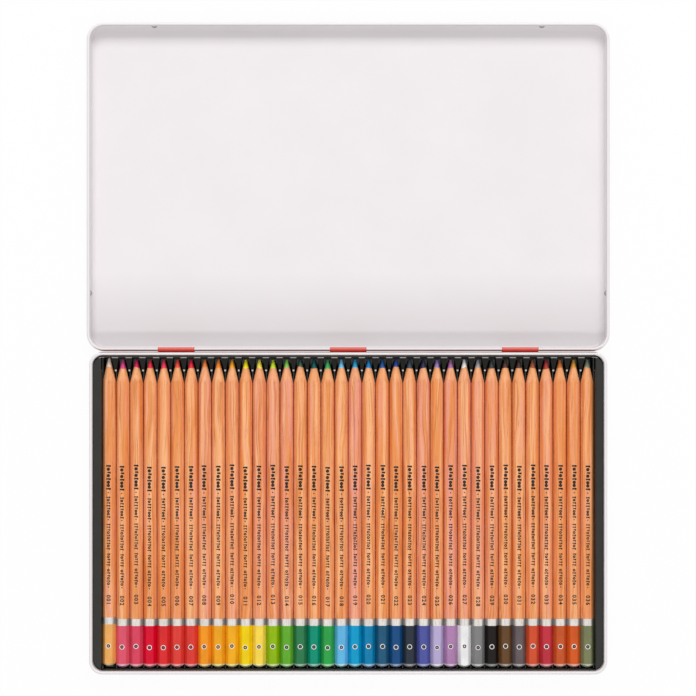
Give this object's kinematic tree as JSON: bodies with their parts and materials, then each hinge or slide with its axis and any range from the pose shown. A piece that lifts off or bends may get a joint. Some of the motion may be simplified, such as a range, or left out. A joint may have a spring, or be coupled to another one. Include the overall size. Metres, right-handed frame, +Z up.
{
  "type": "colored pencil tin",
  "caption": "Flat hinged metal tin lying open, with a formed tray that holds a row of sharpened hexagonal colored pencils side by side.",
  "frame": {"origin": "on the table, at the middle of the open tin's outline", "axes": "+Z up, +Y from the base towards the opened lid, +X to the right when the hinge is at the far side of the pencils"},
  "size_m": [0.2958, 0.3678, 0.0151],
  "materials": {
    "red_lacquer": "gloss",
    "white_lacquer": "satin",
    "tray_plastic": "gloss",
    "cedar": "satin",
    "foil": "polished",
    "lacquer_01": "gloss",
    "lacquer_02": "gloss",
    "lacquer_03": "gloss",
    "lacquer_04": "gloss",
    "lacquer_05": "gloss",
    "lacquer_06": "gloss",
    "lacquer_07": "gloss",
    "lacquer_08": "gloss",
    "lacquer_09": "gloss",
    "lacquer_10": "gloss",
    "lacquer_11": "gloss",
    "lacquer_12": "gloss",
    "lacquer_13": "gloss",
    "lacquer_14": "gloss",
    "lacquer_15": "gloss",
    "lacquer_16": "gloss",
    "lacquer_17": "gloss",
    "lacquer_18": "gloss",
    "lacquer_19": "gloss",
    "lacquer_20": "gloss",
    "lacquer_21": "gloss",
    "lacquer_22": "gloss",
    "lacquer_23": "gloss",
    "lacquer_24": "gloss",
    "lacquer_25": "gloss",
    "lacquer_26": "gloss",
    "lacquer_27": "gloss",
    "lacquer_28": "gloss",
    "lacquer_29": "gloss",
    "lacquer_30": "gloss",
    "lacquer_31": "gloss",
    "lacquer_32": "gloss",
    "lacquer_33": "gloss",
    "lacquer_34": "gloss",
    "lacquer_35": "gloss",
    "lacquer_36": "gloss"
  },
  "bodies": {
    "base": {"tin_base": "red_lacquer", "hinge_strap_left": "red_lacquer", "hinge_strap_middle": "red_lacquer", "hinge_strap_right": "red_lacquer"},
    "lid": {"tin_lid": "white_lacquer"},
    "tray": {"pencil_tray": "tray_plastic"},
    "pencil_01_body": {"pencil_01": "lacquer_01"},
    "pencil_02_body": {"pencil_02": "lacquer_02"},
    "pencil_03_body": {"pencil_03": "lacquer_03"},
    "pencil_04_body": {"pencil_04": "lacquer_04"},
    "pencil_05_body": {"pencil_05": "lacquer_05"},
    "pencil_06_body": {"pencil_06": "lacquer_06"},
    "pencil_07_body": {"pencil_07": "lacquer_07"},
    "pencil_08_body": {"pencil_08": "lacquer_08"},
    "pencil_09_body": {"pencil_09": "lacquer_09"},
    "pencil_10_body": {"pencil_10": "lacquer_10"},
    "pencil_11_body": {"pencil_11": "lacquer_11"},
    "pencil_12_body": {"pencil_12": "lacquer_12"},
    "pencil_13_body": {"pencil_13": "lacquer_13"},
    "pencil_14_body": {"pencil_14": "lacquer_14"},
    "pencil_15_body": {"pencil_15": "lacquer_15"},
    "pencil_16_body": {"pencil_16": "lacquer_16"},
    "pencil_17_body": {"pencil_17": "lacquer_17"},
    "pencil_18_body": {"pencil_18": "lacquer_18"},
    "pencil_19_body": {"pencil_19": "lacquer_19"},
    "pencil_20_body": {"pencil_20": "lacquer_20"},
    "pencil_21_body": {"pencil_21": "lacquer_21"},
    "pencil_22_body": {"pencil_22": "lacquer_22"},
    "pencil_23_body": {"pencil_23": "lacquer_23"},
    "pencil_24_body": {"pencil_24": "lacquer_24"},
    "pencil_25_body": {"pencil_25": "lacquer_25"},
    "pencil_26_body": {"pencil_26": "lacquer_26"},
    "pencil_27_body": {"pencil_27": "lacquer_27"},
    "pencil_28_body": {"pencil_28": "lacquer_28"},
    "pencil_29_body": {"pencil_29": "lacquer_29"},
    "pencil_30_body": {"pencil_30": "lacquer_30"},
    "pencil_31_body": {"pencil_31": "lacquer_31"},
    "pencil_32_body": {"pencil_32": "lacquer_32"},
    "pencil_33_body": {"pencil_33": "lacquer_33"},
    "pencil_34_body": {"pencil_34": "lacquer_34"},
    "pencil_35_body": {"pencil_35": "lacquer_35"},
    "pencil_36_body": {"pencil_36": "lacquer_36"}
  },
  "joints": [
    {"name": "lid_hinge", "type": "hinge", "parent": "base", "child": "lid", "pos_m": [0, -0.00115, 0.008], "axis": [-1, 0, 0], "range_deg": [-180, 0]},
    {"name": "tray_lift", "type": "slide", "parent": "base", "child": "tray", "axis": [0, 0, 1], "range_m": [0, 0.03]},
    {"name": "pencil_01_lift", "type": "slide", "parent": "tray", "child": "pencil_01_body", "axis": [0, 0, 1], "range_m": [0, 0.04]},
    {"name": "pencil_02_lift", "type": "slide", "parent": "tray", "child": "pencil_02_body", "axis": [0, 0, 1], "range_m": [0, 0.04]},
    {"name": "pencil_03_lift", "type": "slide", "parent": "tray", "child": "pencil_03_body", "axis": [0, 0, 1], "range_m": [0, 0.04]},
    {"name": "pencil_04_lift", "type": "slide", "parent": "tray", "child": "pencil_04_body", "axis": [0, 0, 1], "range_m": [0, 0.04]},
    {"name": "pencil_05_lift", "type": "slide", "parent": "tray", "child": "pencil_05_body", "axis": [0, 0, 1], "range_m": [0, 0.04]},
    {"name": "pencil_06_lift", "type": "slide", "parent": "tray", "child": "pencil_06_body", "axis": [0, 0, 1], "range_m": [0, 0.04]},
    {"name": "pencil_07_lift", "type": "slide", "parent": "tray", "child": "pencil_07_body", "axis": [0, 0, 1], "range_m": [0, 0.04]},
    {"name": "pencil_08_lift", "type": "slide", "parent": "tray", "child": "pencil_08_body", "axis": [0, 0, 1], "range_m": [0, 0.04]},
    {"name": "pencil_09_lift", "type": "slide", "parent": "tray", "child": "pencil_09_body", "axis": [0, 0, 1], "range_m": [0, 0.04]},
    {"name": "pencil_10_lift", "type": "slide", "parent": "tray", "child": "pencil_10_body", "axis": [0, 0, 1], "range_m": [0, 0.04]},
    {"name": "pencil_11_lift", "type": "slide", "parent": "tray", "child": "pencil_11_body", "axis": [0, 0, 1], "range_m": [0, 0.04]},
    {"name": "pencil_12_lift", "type": "slide", "parent": "tray", "child": "pencil_12_body", "axis": [0, 0, 1], "range_m": [0, 0.04]},
    {"name": "pencil_13_lift", "type": "slide", "parent": "tray", "child": "pencil_13_body", "axis": [0, 0, 1], "range_m": [0, 0.04]},
    {"name": "pencil_14_lift", "type": "slide", "parent": "tray", "child": "pencil_14_body", "axis": [0, 0, 1], "range_m": [0, 0.04]},
    {"name": "pencil_15_lift", "type": "slide", "parent": "tray", "child": "pencil_15_body", "axis": [0, 0, 1], "range_m": [0, 0.04]},
    {"name": "pencil_16_lift", "type": "slide", "parent": "tray", "child": "pencil_16_body", "axis": [0, 0, 1], "range_m": [0, 0.04]},
    {"name": "pencil_17_lift", "type": "slide", "parent": "tray", "child": "pencil_17_body", "axis": [0, 0, 1], "range_m": [0, 0.04]},
    {"name": "pencil_18_lift", "type": "slide", "parent": "tray", "child": "pencil_18_body", "axis": [0, 0, 1], "range_m": [0, 0.04]},
    {"name": "pencil_19_lift", "type": "slide", "parent": "tray", "child": "pencil_19_body", "axis": [0, 0, 1], "range_m": [0, 0.04]},
    {"name": "pencil_20_lift", "type": "slide", "parent": "tray", "child": "pencil_20_body", "axis": [0, 0, 1], "range_m": [0, 0.04]},
    {"name": "pencil_21_lift", "type": "slide", "parent": "tray", "child": "pencil_21_body", "axis": [0, 0, 1], "range_m": [0, 0.04]},
    {"name": "pencil_22_lift", "type": "slide", "parent": "tray", "child": "pencil_22_body", "axis": [0, 0, 1], "range_m": [0, 0.04]},
    {"name": "pencil_23_lift", "type": "slide", "parent": "tray", "child": "pencil_23_body", "axis": [0, 0, 1], "range_m": [0, 0.04]},
    {"name": "pencil_24_lift", "type": "slide", "parent": "tray", "child": "pencil_24_body", "axis": [0, 0, 1], "range_m": [0, 0.04]},
    {"name": "pencil_25_lift", "type": "slide", "parent": "tray", "child": "pencil_25_body", "axis": [0, 0, 1], "range_m": [0, 0.04]},
    {"name": "pencil_26_lift", "type": "slide", "parent": "tray", "child": "pencil_26_body", "axis": [0, 0, 1], "range_m": [0, 0.04]},
    {"name": "pencil_27_lift", "type": "slide", "parent": "tray", "child": "pencil_27_body", "axis": [0, 0, 1], "range_m": [0, 0.04]},
    {"name": "pencil_28_lift", "type": "slide", "parent": "tray", "child": "pencil_28_body", "axis": [0, 0, 1], "range_m": [0, 0.04]},
    {"name": "pencil_29_lift", "type": "slide", "parent": "tray", "child": "pencil_29_body", "axis": [0, 0, 1], "range_m": [0, 0.04]},
    {"name": "pencil_30_lift", "type": "slide", "parent": "tray", "child": "pencil_30_body", "axis": [0, 0, 1], "range_m": [0, 0.04]},
    {"name": "pencil_31_lift", "type": "slide", "parent": "tray", "child": "pencil_31_body", "axis": [0, 0, 1], "range_m": [0, 0.04]},
    {"name": "pencil_32_lift", "type": "slide", "parent": "tray", "child": "pencil_32_body", "axis": [0, 0, 1], "range_m": [0, 0.04]},
    {"name": "pencil_33_lift", "type": "slide", "parent": "tray", "child": "pencil_33_body", "axis": [0, 0, 1], "range_m": [0, 0.04]},
    {"name": "pencil_34_lift", "type": "slide", "parent": "tray", "child": "pencil_34_body", "axis": [0, 0, 1], "range_m": [0, 0.04]},
    {"name": "pencil_35_lift", "type": "slide", "parent": "tray", "child": "pencil_35_body", "axis": [0, 0, 1], "range_m": [0, 0.04]},
    {"name": "pencil_36_lift", "type": "slide", "parent": "tray", "child": "pencil_36_body", "axis": [0, 0, 1], "range_m": [0, 0.04]}
  ]
}
